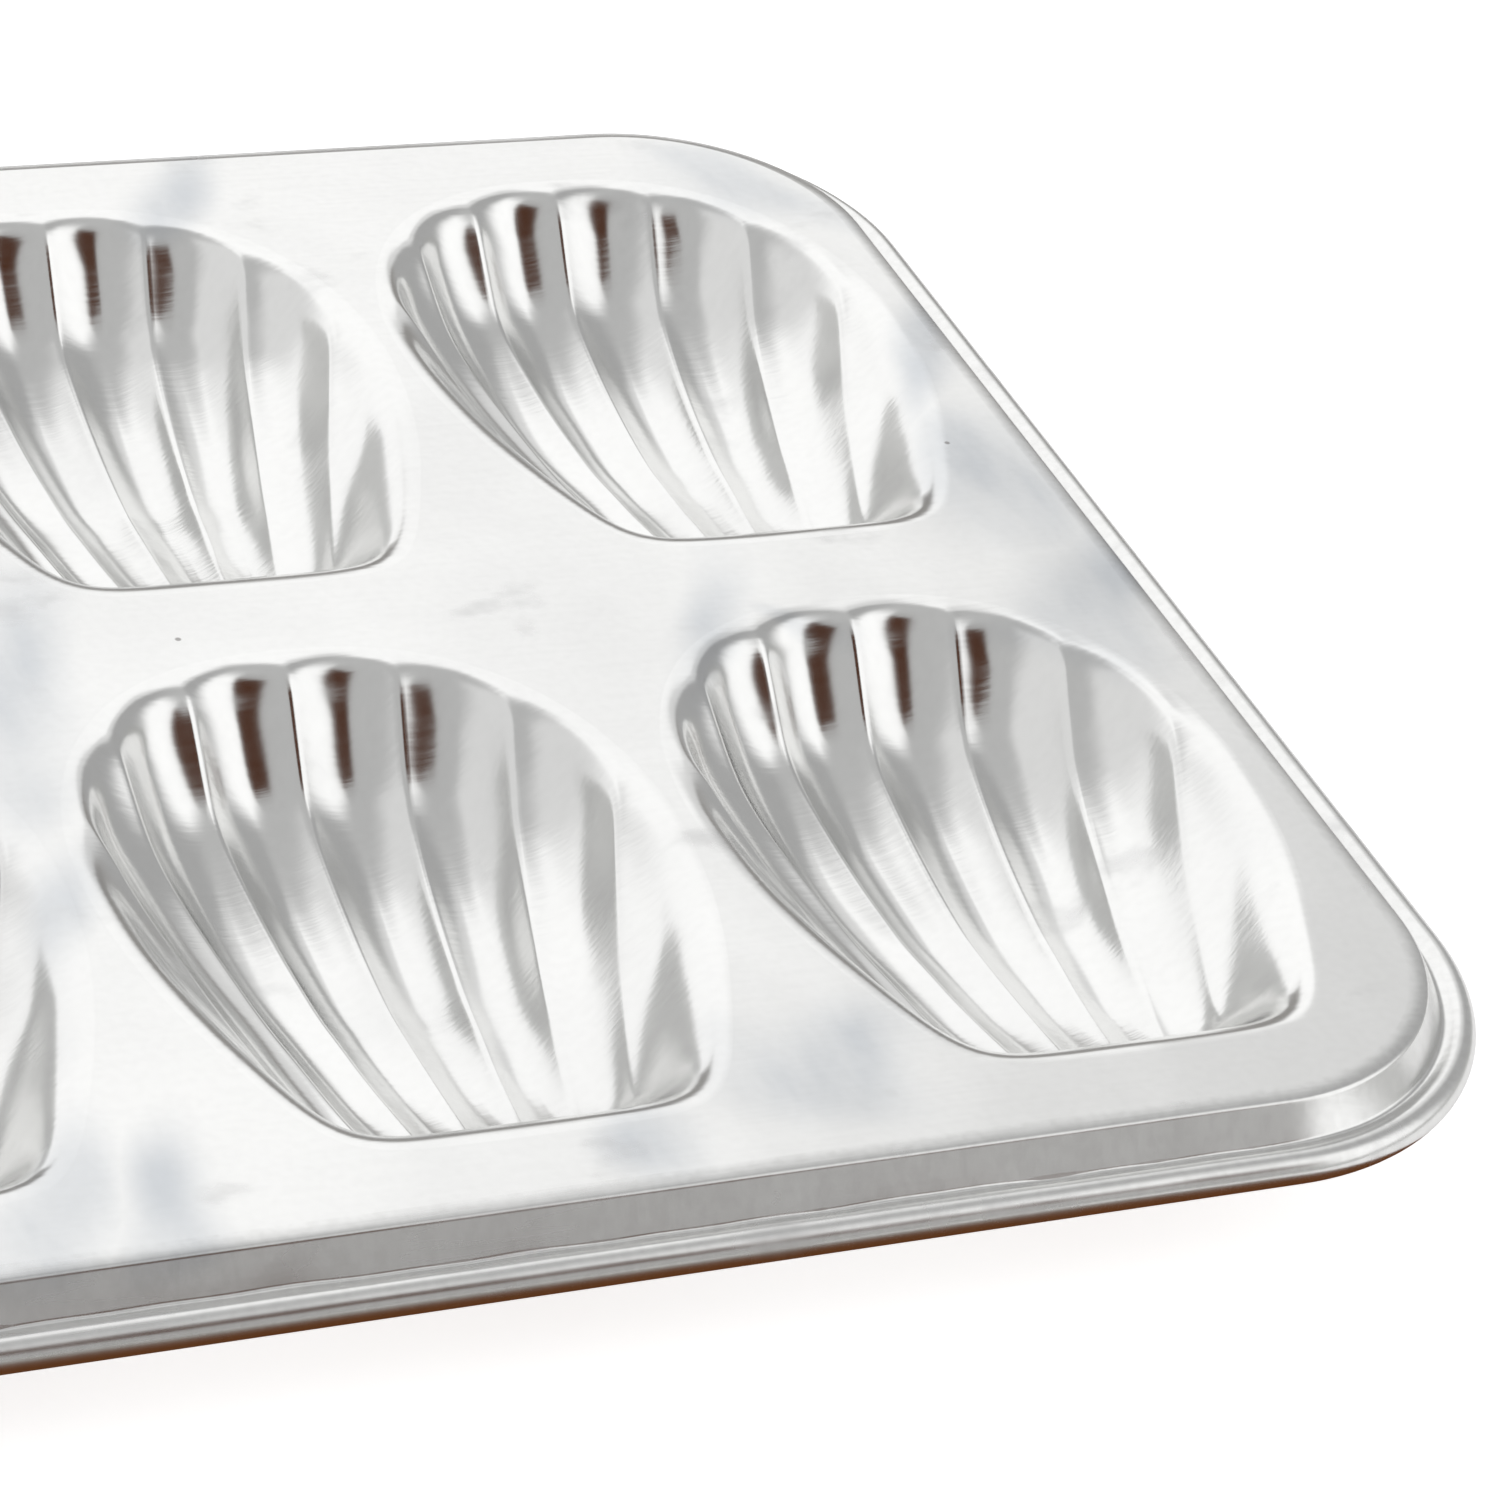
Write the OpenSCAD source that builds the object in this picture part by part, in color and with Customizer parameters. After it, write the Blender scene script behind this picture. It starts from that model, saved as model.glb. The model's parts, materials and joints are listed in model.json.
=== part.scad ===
// Madeleine pan: one pressed tinned-steel sheet with twelve fluted shell cups in two rows of six,
// a sloping skirt all round and an edge rolled over a steel wire. Millimetres.
// X runs along the pan, Y from the front row to the rear row, Z up. Z = 0 is under the cups, on the table.
// The origin is the middle of the pan on the table.
// The sheet is written as its pressed areas (deck, cups, skirt, rolled edge), which meet edge to edge.

/* [Pan] */
// Thickness of the tinned sheet
sheet_t = 0.5; // [0.3:0.05:0.8]
// Distance between cup centres along the pan
column_pitch = 62; // [58:0.5:75]
// Distance between cup centres across the pan
row_pitch = 90; // [86:0.5:110]
// Length of the flat deck, fold to fold
deck_length = 379.2; // [300:0.2:500]
// Width of the flat deck, fold to fold
deck_width = 189.2; // [150:0.2:260]
// Corner radius of the deck at the fold
deck_corner = 25; // [10:0.5:40]
// How far the pair of rows sits towards the front of the deck
row_shift = 1.2; // [0:0.1:5]

/* [Cups] */
// Depth of a cup under the deck, along its ridges
cup_depth = 15.6; // [8:0.1:22]
// Reach of a cup's mouth from its centre to the scalloped rear end
rear_reach = 36.7; // [25:0.1:50]
// Reach of a cup's mouth from its centre to the blunt front end
front_reach = 36.6; // [25:0.1:50]
// Half width of a cup's mouth where it is widest
half_width = 28.1; // [20:0.1:32]
// Distance of the tapering sides from the cup centre
side_reach = 29; // [20:0.1:34]
// Angle at which the sides close in towards the front
side_taper = 19.7; // [0:0.1:35]
// Roundness of the rear end, 2 for an ellipse
rear_power = 2.4; // [2:0.1:4]
// Sharpness of the corners between front end and sides
corner_power = 12; // [4:1:20]
// Width of the rolled lip outside the mouth
lip_w = 2.6; // [1:0.1:4]
// Slope of the cup's wall under the lip
wall_angle = 50; // [30:1:70]
// Rise of the floor towards the rear, as a share of the depth
rear_rise = 0.47; // [0.1:0.01:0.9]
// Rise of the floor towards the two sides
side_rise = 0.98; // [0.3:0.01:1]
// Rise of the floor towards the front
front_rise = 0.31; // [0.1:0.01:0.9]
// How late the floor rises towards the rear, 1 for an even slope
rear_curve = 1.75; // [1:0.05:4]
// How late the floor rises towards the two sides
side_curve = 2.27; // [1:0.01:4]
// How late the floor rises towards the front
front_curve = 1.36; // [1:0.01:4]
// Sharpness of the bend where wall and floor meet
meeting = 9; // [3:1:16]
// How far the ridges cut into the mouth at the rear
scallop = 1.1; // [0:0.1:2.5]
// Distance from a cup centre to the point the ridges spread from
fan_reach = 76; // [60:1:140]
// Spread of half a flute per millimetre from that point
fan_step = 0.05; // [0.03:0.001:0.06]
// Depth of a flute as a share of half its width
flute_share = 0.3; // [0.05:0.01:0.5]
// Part of that depth left where the flute climbs the wall
wall_flute = 0.3; // [0:0.05:1]
// Sharpness of the ridges between the flutes
ridge_power = 1.5; // [1:0.1:3]

/* [Rim] */
// Outside radius of the fold between deck and skirt
fold_r = 1.1; // [0.6:0.1:3]
// Slope of the skirt below the deck plane
skirt_angle = 62; // [45:1:85]
// Length of the sloping skirt
skirt_length = 3.9; // [2:0.1:10]
// Rolled edge: how far its centre stands outside the deck
roll_out = 4; // [3:0.1:10]
// Rolled edge: how far its centre lies below the deck top
roll_down = 4.8; // [3:0.1:12]
// Rolled edge: outside radius
roll_r = 1.72; // [1.2:0.01:3]
// Radius of the steel wire inside the rolled edge
wire_r = 1.2; // [0.8:0.01:2.4]

/* [Hidden] */
$fn = 96;
steel = [0.83, 0.84, 0.85];
edge_steel = [0.78, 0.79, 0.8];
wire_steel = [0.5, 0.5, 0.52];
columns = 6;
rows = ["a", "b"];
half_x = deck_length / 2;
half_y = deck_width / 2;

// Fan lines counted from the middle of a cup: ridges on the even ones, flutes on the odd ones
lines = 7;
// Columns of points between the last fan line and the side of the lip
side_columns = 3;
// Angles from the ends of the last fan line to the ends of the side's own line, front and rear
side_lead = 5;
side_lag = 7;
// Halvings used to find where a fan line crosses the lip, and a length beyond every lip
halvings = 22;
beyond = rear_reach + front_reach;
// Length over which the slope of the bowl is taken
probe = 0.2;

// Zero before first, one after last, and a smooth cubic between them
function smooth(value, first, last) = let(t = min(max((value - first) / (last - first), 0), 1)) t * t * (3 - 2 * t);
function mix(a, b, w) = a * (1 - w) + b * w;

// Mouth of a cup: distance from its centre at angle t, 0 towards the rear, 90 towards +X
function mouth(t) = let(
        s = abs(sin(t)),
        c = cos(t),
        rear = pow(pow(s / half_width, rear_power) + pow(max(c, 0) / rear_reach, rear_power), 1 / rear_power),
        side = max(s * cos(side_taper) - c * sin(side_taper), 0) / side_reach,
        front = max(-c, 0) / front_reach
    )
    pow(pow(rear, corner_power) + pow(side, corner_power) + pow(front, corner_power), -1 / corner_power);

// Outer line of the lip, where a cup's pressing meets the flat deck
function lip(t) = mouth(t) + lip_w;
function lip_point(t) = [lip(t) * sin(t), lip(t) * cos(t)];
function inward(x, y) = lip(atan2(x, y)) - norm([x, y]);

// Half the width of a flute at a distance along the cup
function half_flute(y) = (y + fan_reach) * fan_step;

// One on a ridge and zero midway between two ridges
function ridge(x, y) = let(
        line = x / half_flute(y),
        apart = abs(line) > lines ? 1 : abs(line - 2 * round(line / 2))
    )
    pow(max(1 - apart, 0), ridge_power);

// The rolled lip: zero at its outer line, then a slope that grows smoothly to one
function roll(q) = let(w = 2 * lip_w, t = min(max(q / w, 0), 1)) q > w ? q - w / 2 : w * (t * t * t - t * t * t * t / 2);

// A value that turns from the rear to the sides and on to the front of a cup
function by_side(t, rear, side, front) = let(c = cos(t))
    side + (rear - side) * pow(max(c, 0), 2) + (front - side) * pow(max(-c, 0), 2);

// Depth of the smooth bowl: the lesser of a steep wall and a floor that rises gently outwards
function bowl(x, y) = let(
        t = atan2(x, y),
        q = inward(x, y),
        notch = scallop * smooth(cos(t), -0.5, 0.5) * ridge(x, y) * smooth(q, 0, lip_w),
        way = roll(q - notch),
        out = 1 - min(way / mouth(t), 1),
        rise = by_side(t, rear_rise, side_rise, front_rise),
        curve = by_side(t, rear_curve, side_curve, front_curve),
        floor_z = cup_depth * (1 - rise * pow(out, curve)),
        wall_z = tan(wall_angle) * way
    )
    way > 0 ? pow(pow(floor_z, -meeting) + pow(wall_z, -meeting), -1 / meeting) : 0;

// Unit normal of the bowl, pointing up
function up(x, y) = let(
        slope_x = (bowl(x + probe, y) - bowl(x - probe, y)) / (2 * probe),
        slope_y = (bowl(x, y + probe) - bowl(x, y - probe)) / (2 * probe),
        v = [slope_x, slope_y, 1]
    )
    v / norm(v);

// How deep the flutes lie under the bowl: less on the wall, and starting lower at the front
function flute(x, y) = let(
        t = atan2(x, y),
        q = inward(x, y),
        front = smooth(-cos(t), 0.3, 0.85),
        grown = smooth(q, (0.6 + front) * lip_w, 2.3 * (1 + front) * lip_w),
        deeper = mix(wall_flute, 1, smooth((q - lip_w) / mouth(t), 0.15, 0.6))
    )
    flute_share * half_flute(y) * grown * deeper * (1 - ridge(x, y));

// Where a fan line crosses the lip, by halving
function cross_y(s, inside, outside, n) = let(
        y = (inside + outside) / 2,
        x = half_flute(y) * s
    )
    n == 0 ? y : norm([x, y]) < lip(atan2(x, y)) ? cross_y(s, y, outside, n - 1) : cross_y(s, inside, y, n - 1);

front_y = [for (i = [0 : lines]) cross_y(i, 0, -beyond, halvings)];
rear_y = [for (i = [0 : lines]) cross_y(i, 0, beyond, halvings)];
front_t = atan2(half_flute(front_y[lines]) * lines, front_y[lines]);
rear_t = atan2(half_flute(rear_y[lines]) * lines, rear_y[lines]);
side_front = front_t - side_lead;
side_rear = rear_t + side_lag;

// Rows of a cup run from the front lip to the rear lip, closer together on the two end walls
share = [0, 0.03, 0.055, 0.09, 0.13, 0.19, 0.29, 0.41, 0.54, 0.67, 0.78, 0.86, 0.905, 0.94, 0.97, 1];
function fan_line(i, v) = let(y = mix(front_y[abs(i)], rear_y[abs(i)], v)) [half_flute(y) * i, y];
function side_line(v) = lip_point(mix(side_front, side_rear, v));
function side_plan(w, v) = let(
        start = lip_point(mix(front_t, side_front, w)) - mix(fan_line(lines, 0), side_line(0), w),
        end = lip_point(mix(rear_t, side_rear, w)) - mix(fan_line(lines, 1), side_line(1), w)
    )
    mix(fan_line(lines, v), side_line(v), w) + mix(start, end, v);
function flip(p, sign) = [p[0] * sign, p[1]];
function plan(col, v) = abs(col) <= lines ? fan_line(col, v)
    : flip(side_plan((abs(col) - lines) / side_columns, v), sign(col));

cols = [for (c = [-lines - side_columns : lines + side_columns]) c];
nc = len(cols);
nr = len(share);
function on_edge(i, j) = i == 0 || i == nc - 1 || j == 0 || j == nr - 1;
function upper(i, j) = let(p = plan(cols[i], share[j]))
    on_edge(i, j) ? [p[0], p[1], 0]
        : [p[0], p[1], -bowl(p[0], p[1])] - up(p[0], p[1]) * flute(p[0], p[1]);
function lower(i, j) = let(p = plan(cols[i], share[j]))
    on_edge(i, j) ? [p[0], p[1], -sheet_t] : upper(i, j) - up(p[0], p[1]) * sheet_t;

cup_points = concat([for (i = [0 : nc - 1]) for (j = [0 : nr - 1]) upper(i, j)],
    [for (i = [0 : nc - 1]) for (j = [0 : nr - 1]) lower(i, j)]);
// The cups stand on the table, so the deck lies as high as their lowest point is deep
deck_top = -min([for (p = cup_points) p[2]]);
half_n = nc * nr;
edge_ring = concat([for (j = [0 : nr - 2]) j], [for (i = [0 : nc - 2]) i * nr + nr - 1],
    [for (j = [nr - 1 : -1 : 1]) (nc - 1) * nr + j], [for (i = [nc - 1 : -1 : 1]) i * nr]);
ring_n = len(edge_ring);
cup_faces = concat(
    [for (i = [0 : nc - 2]) for (j = [0 : nr - 2]) [i * nr + j, i * nr + j + 1, (i + 1) * nr + j + 1]],
    [for (i = [0 : nc - 2]) for (j = [0 : nr - 2]) [i * nr + j, (i + 1) * nr + j + 1, (i + 1) * nr + j]],
    [for (i = [0 : nc - 2]) for (j = [0 : nr - 2]) [for (k = [i * nr + j, (i + 1) * nr + j + 1, i * nr + j + 1]) k + half_n]],
    [for (i = [0 : nc - 2]) for (j = [0 : nr - 2]) [for (k = [i * nr + j, (i + 1) * nr + j, (i + 1) * nr + j + 1]) k + half_n]],
    [for (k = [0 : ring_n - 1]) let(a = edge_ring[k], b = edge_ring[(k + 1) % ring_n]) [a, a + half_n, b + half_n]],
    [for (k = [0 : ring_n - 1]) let(a = edge_ring[k], b = edge_ring[(k + 1) % ring_n]) [a, b + half_n, b]]
);
edge_outline = [for (k = edge_ring) [cup_points[k][0], cup_points[k][1]]];

function cup_x(column) = (column - (columns + 1) / 2) * column_pitch;
function cup_y(row) = (row == "a" ? 0.5 : -0.5) * row_pitch - row_shift;

// A rim section, drawn outwards from the fold, carried round the four sides and corners
module round_rim() {
    for (sx = [-1, 1])
        translate([sx * half_x, half_y - deck_corner, deck_top])
            rotate([90, 0, 0])
                linear_extrude(deck_width - 2 * deck_corner)
                    mirror([sx < 0 ? 1 : 0, 0])
                        children();
    for (sy = [-1, 1])
        translate([-sy * (half_x - deck_corner), sy * half_y, deck_top])
            rotate([90, 0, 90 * sy])
                linear_extrude(deck_length - 2 * deck_corner)
                    children();
    for (q = [0 : 3])
        translate([(q == 0 || q == 3 ? 1 : -1) * (half_x - deck_corner), (q < 2 ? 1 : -1) * (half_y - deck_corner), deck_top])
            rotate([0, 0, 90 * q])
                rotate_extrude(angle = 90)
                    translate([deck_corner, 0])
                        children();
}

module deck() {
    color(steel)
        difference() {
            translate([0, 0, deck_top - sheet_t])
                union() {
                    translate([-half_x + deck_corner, -half_y, 0])
                        cube([deck_length - 2 * deck_corner, deck_width, sheet_t]);
                    translate([-half_x, -half_y + deck_corner, 0])
                        cube([deck_length, deck_width - 2 * deck_corner, sheet_t]);
                    for (sx = [-1, 1])
                        for (sy = [-1, 1])
                            translate([sx * (half_x - deck_corner), sy * (half_y - deck_corner), 0])
                                cylinder(h = sheet_t, r = deck_corner);
                }
            for (r = rows)
                for (c = [1 : columns])
                    translate([cup_x(c), cup_y(r), deck_top - 2 * sheet_t])
                        linear_extrude(3 * sheet_t)
                            polygon(edge_outline);
        }
}

module cup(row, column) {
    color(steel)
        translate([cup_x(column), cup_y(row), deck_top])
            polyhedron(points = cup_points, faces = cup_faces, convexity = 6);
}
module cup_a1() cup("a", 1);
module cup_a2() cup("a", 2);
module cup_a3() cup("a", 3);
module cup_a4() cup("a", 4);
module cup_a5() cup("a", 5);
module cup_a6() cup("a", 6);
module cup_b1() cup("b", 1);
module cup_b2() cup("b", 2);
module cup_b3() cup("b", 3);
module cup_b4() cup("b", 4);
module cup_b5() cup("b", 5);
module cup_b6() cup("b", 6);

// The fold and the sloping skirt, cut to lie against the rolled edge
fold_turns = [for (i = [0 : 8]) skirt_angle * i / 8];
fold_end = fold_r * [sin(skirt_angle), cos(skirt_angle) - 1];
skirt_end = fold_end + skirt_length * [cos(skirt_angle), -sin(skirt_angle)];
inward = sheet_t * [-sin(skirt_angle), -cos(skirt_angle)];
module skirt_section() {
    polygon(concat([for (a = fold_turns) fold_r * [sin(a), cos(a) - 1]], [skirt_end, skirt_end + inward],
        [for (i = [8 : -1 : 0]) [(fold_r - sheet_t) * sin(fold_turns[i]), (fold_r - sheet_t) * cos(fold_turns[i]) - fold_r]]));
}
module skirt() {
    color(steel)
        difference() {
            round_rim() skirt_section();
            round_rim() translate([roll_out, -roll_down]) circle(r = roll_r);
        }
}
module rolled_edge() {
    color(edge_steel)
        difference() {
            round_rim() translate([roll_out, -roll_down]) circle(r = roll_r);
            round_rim() translate([roll_out, -roll_down]) circle(r = wire_r);
        }
}
module edge_wire() {
    color(wire_steel)
        round_rim() translate([roll_out, -roll_down]) circle(r = wire_r);
}

deck();
cup_a1();
cup_a2();
cup_a3();
cup_a4();
cup_a5();
cup_a6();
cup_b1();
cup_b2();
cup_b3();
cup_b4();
cup_b5();
cup_b6();
skirt();
rolled_edge();
edge_wire();
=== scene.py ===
"""Dresses the madeleine pan: its deck, twelve fluted cups, skirt and rolled edge in bright tinned steel."""

import json
import math

import bmesh
import bpy
import numpy as np
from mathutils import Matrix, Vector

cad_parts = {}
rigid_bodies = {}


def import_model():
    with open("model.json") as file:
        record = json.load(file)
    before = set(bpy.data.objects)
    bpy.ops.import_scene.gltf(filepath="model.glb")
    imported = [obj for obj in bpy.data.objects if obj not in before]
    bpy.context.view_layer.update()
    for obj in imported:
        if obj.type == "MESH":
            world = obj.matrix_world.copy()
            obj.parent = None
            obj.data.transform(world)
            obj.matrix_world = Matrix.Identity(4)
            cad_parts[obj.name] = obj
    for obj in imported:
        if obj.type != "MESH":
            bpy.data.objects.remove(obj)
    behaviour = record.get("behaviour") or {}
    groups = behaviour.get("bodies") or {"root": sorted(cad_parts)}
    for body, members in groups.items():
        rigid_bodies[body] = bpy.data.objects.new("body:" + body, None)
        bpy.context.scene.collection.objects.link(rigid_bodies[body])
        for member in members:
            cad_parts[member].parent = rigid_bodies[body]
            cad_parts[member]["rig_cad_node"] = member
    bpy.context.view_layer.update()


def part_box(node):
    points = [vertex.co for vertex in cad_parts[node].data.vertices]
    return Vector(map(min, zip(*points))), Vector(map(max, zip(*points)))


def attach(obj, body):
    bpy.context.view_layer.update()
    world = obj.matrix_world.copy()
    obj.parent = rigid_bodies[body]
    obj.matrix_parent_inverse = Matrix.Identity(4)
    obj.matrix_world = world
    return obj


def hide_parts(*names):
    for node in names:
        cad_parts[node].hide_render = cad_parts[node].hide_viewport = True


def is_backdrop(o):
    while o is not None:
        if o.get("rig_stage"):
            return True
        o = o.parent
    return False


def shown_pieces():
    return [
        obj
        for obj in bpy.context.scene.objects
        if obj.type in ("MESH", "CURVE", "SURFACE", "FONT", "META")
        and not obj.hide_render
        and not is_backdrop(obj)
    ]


bl_info = {
    "name": "Madeleine pan",
    "version": (1, 0, 0),
    "blender": (4, 5, 0),
    "location": "View3D > Sidebar > Pan",
    "description": "Builds the pressed surfaces of a madeleine pan, its tinned finish and a plain studio",
    "category": "Object",
}

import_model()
MM = 0.001

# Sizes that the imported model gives
DECK_LOW, DECK_HIGH = (np.array(corner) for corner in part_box("deck"))
DECK_TOP = float(DECK_HIGH[2])
HALF_X = float(DECK_HIGH[0])
HALF_Y = float(DECK_HIGH[1])
ROWS = ("a", "b")
COLUMNS = 6

# Share of a turn, from the back by the right, at which each wall of the studio begins or ends
HORIZON = (
    (0.0, "back"),
    (0.074, "back"),
    (0.096, "side"),
    (0.11, "side"),
    (0.14, "right_back"),
    (0.22, "right_back"),
    (0.3, "right_front"),
    (0.375, "right_front"),
    (0.412, "front"),
    (0.5, "front"),
    (0.54, "front_left"),
    (0.66, "front_left"),
    (0.74, "left"),
    (0.85, "left"),
    (0.92, "left_back"),
    (0.97, "left_back"),
    (1.0, "back"),
)
PANELS = (
    ("low_back", 0.0, 0.115, 0.03, -1.0, 0.26, 0.15),
    ("low", 0.2, 0.7, 0.04, -1.0, 0.1, 0.15),
    ("room", 0.41, 0.508, 0.022, 0.53, 0.79, 0.045),
)
HAZE = (
    (57, -85, 5, 14),
    (59, -48, 6, 18),
    (47, -82, 6, 16),
    (137, -8, 5, 17),
    (123, -80, 13, 10),
    (103, -90, 6, 9),
    (184, -7, 10, 17),
    (180, 13, 9, 14),
    (186, 38, 4, 20),
    (108, 87, 6, 14),
    (65, -11, 7, 22),
    (179, 78, 12, 5),
    (160, -12, 20, 4),
    (-6, -12, 7, 19),
    (-62, -88, 6, 13),
    (-118, -6, 9, 15),
    (-93, 86, 12, 6),
    (-181, -52, 5, 20),
)
DECK_RINGS = 5
LAST_LINE = 7


def cup_centre(row, column):
    """Centre of a cup from the box of its node; the box is even in x, and its rear end is rear_reach away."""
    low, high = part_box(f"cup_{row}{column}")
    cups = bpy.context.scene.pan_cups
    return (low[0] + high[0]) / 2, high[1] - cups.rear_reach - cups.lip_width


class PanCups(bpy.types.PropertyGroup):
    """Sizes of one fluted cup."""

    depth: bpy.props.FloatProperty(
        name="Depth", description="Depth of a cup along its ridges", default=15.1 * MM, unit="LENGTH"
    )
    rear_reach: bpy.props.FloatProperty(
        name="Rear reach", description="Centre to the scalloped rear end of the mouth", default=36.7 * MM, unit="LENGTH"
    )
    front_reach: bpy.props.FloatProperty(
        name="Front reach", description="Centre to the blunt front end of the mouth", default=36.6 * MM, unit="LENGTH"
    )
    half_width: bpy.props.FloatProperty(
        name="Half width", description="Half width of the mouth where widest", default=28.1 * MM, unit="LENGTH"
    )
    side_reach: bpy.props.FloatProperty(
        name="Side reach", description="Centre to the tapering sides", default=29 * MM, unit="LENGTH"
    )
    side_taper: bpy.props.FloatProperty(
        name="Side taper", description="How the sides close in to the front", default=math.radians(19.7), unit="ROTATION"
    )
    rear_power: bpy.props.FloatProperty(
        name="Rear power", description="Roundness of the rear end, 2 for an ellipse", default=2.4
    )
    corner_power: bpy.props.FloatProperty(
        name="Corner power", description="Sharpness of the two front corners", default=12
    )
    lip_width: bpy.props.FloatProperty(
        name="Lip width", description="Width of the rolled lip outside the mouth", default=2.6 * MM, unit="LENGTH"
    )
    wall_angle: bpy.props.FloatProperty(
        name="Wall angle", description="Slope of the wall under the lip", default=math.radians(50), unit="ROTATION"
    )
    rear_rise: bpy.props.FloatProperty(
        name="Rear rise", description="Rise of the floor to the rear, as a share of the depth", default=0.47
    )
    side_rise: bpy.props.FloatProperty(
        name="Side rise", description="Rise of the floor to the sides", default=0.98
    )
    front_rise: bpy.props.FloatProperty(
        name="Front rise", description="Rise of the floor to the front", default=0.31
    )
    rear_curve: bpy.props.FloatProperty(
        name="Rear curve", description="How late the floor rises to the rear, 1 for evenly", default=1.75
    )
    side_curve: bpy.props.FloatProperty(
        name="Side curve", description="How late the floor rises to the sides", default=2.27
    )
    front_curve: bpy.props.FloatProperty(
        name="Front curve", description="How late the floor rises to the front", default=1.36
    )
    meeting: bpy.props.FloatProperty(
        name="Meeting", description="Sharpness of the bend where wall and floor meet", default=9
    )
    scallop: bpy.props.FloatProperty(
        name="Scallop", description="How far the ridges cut into the mouth at the rear", default=1.25 * MM, unit="LENGTH"
    )
    fan_reach: bpy.props.FloatProperty(
        name="Fan reach", description="Centre to the point the ridges spread from", default=76 * MM, unit="LENGTH"
    )
    fan_step: bpy.props.FloatProperty(
        name="Fan step", description="Half a flute per length from that point", default=0.05
    )
    flute_share: bpy.props.FloatProperty(
        name="Flute share", description="Flute depth as a share of half its width", default=0.41
    )
    wall_flute: bpy.props.FloatProperty(
        name="Wall flute", description="Part of that depth left on the wall", default=0.3
    )
    ridge_power: bpy.props.FloatProperty(
        name="Ridge power", description="Sharpness of the ridges", default=1.7
    )
    ridge_soft: bpy.props.FloatProperty(
        name="Ridge softness", description="Rounding of the ridges, as a share of half a flute", default=0.05
    )
    sheet: bpy.props.FloatProperty(
        name="Sheet", description="Thickness of the tinned sheet", default=0.5 * MM, unit="LENGTH"
    )


class PanRim(bpy.types.PropertyGroup):
    """Sizes of the skirt and the rolled edge."""

    corner: bpy.props.FloatProperty(
        name="Corner", description="Corner radius of the deck", default=25 * MM, unit="LENGTH"
    )
    margin: bpy.props.FloatProperty(
        name="Margin", description="Width of the deck's margin that eases down to the fold", default=1.6 * MM, unit="LENGTH"
    )
    rear_drop: bpy.props.FloatProperty(
        name="Rear drop", description="How much further the rear margin eases down", default=0.25 * MM, unit="LENGTH"
    )
    margin_fall: bpy.props.FloatProperty(
        name="Margin fall", description="Slope of the margin where the fold begins", default=math.radians(12), unit="ROTATION"
    )
    fold: bpy.props.FloatProperty(
        name="Fold", description="Outside radius of the fold", default=0.7 * MM, unit="LENGTH"
    )
    inset: bpy.props.FloatProperty(
        name="Inset", description="How far inside the deck's edge the fold begins", default=0.3 * MM, unit="LENGTH"
    )
    crease_out: bpy.props.FloatProperty(
        name="Crease out", description="Crease between skirt and roll, outward of the deck's edge", default=2.15 * MM, unit="LENGTH"
    )
    crease_down: bpy.props.FloatProperty(
        name="Crease down", description="Crease below the deck", default=3.75 * MM, unit="LENGTH"
    )
    waviness: bpy.props.FloatProperty(
        name="Waviness", description="How far the crease wanders up and down", default=0.22 * MM, unit="LENGTH"
    )
    skirt_angle: bpy.props.FloatProperty(
        name="Skirt angle", description="Slope of the skirt below the deck", default=math.radians(62), unit="ROTATION"
    )
    skirt_length: bpy.props.FloatProperty(
        name="Skirt length", description="Length of the sloping skirt", default=3.9 * MM, unit="LENGTH"
    )
    roll_out: bpy.props.FloatProperty(
        name="Roll out", description="Rolled edge outside the deck", default=4 * MM, unit="LENGTH"
    )
    roll_down: bpy.props.FloatProperty(
        name="Roll down", description="Rolled edge below the deck top", default=4.8 * MM, unit="LENGTH"
    )
    roll_radius: bpy.props.FloatProperty(
        name="Roll radius", description="Outside radius of the rolled edge", default=1.72 * MM, unit="LENGTH"
    )
    wire_radius: bpy.props.FloatProperty(
        name="Wire radius", description="Radius of the wire inside", default=1.2 * MM, unit="LENGTH"
    )


class PanFinish(bpy.types.PropertyGroup):
    """Colours of the tinned sheet and the stage."""

    tin: bpy.props.FloatVectorProperty(
        name="Tin", description="Colour of the bright tin", subtype="COLOR", default=(0.87, 0.87, 0.86)
    )
    wire: bpy.props.FloatVectorProperty(
        name="Wire", description="Colour of the bare wire", subtype="COLOR", default=(0.45, 0.45, 0.46)
    )
    floor: bpy.props.FloatVectorProperty(
        name="Floor", description="Colour of the floor", subtype="COLOR", default=(0.92, 0.92, 0.92)
    )


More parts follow.
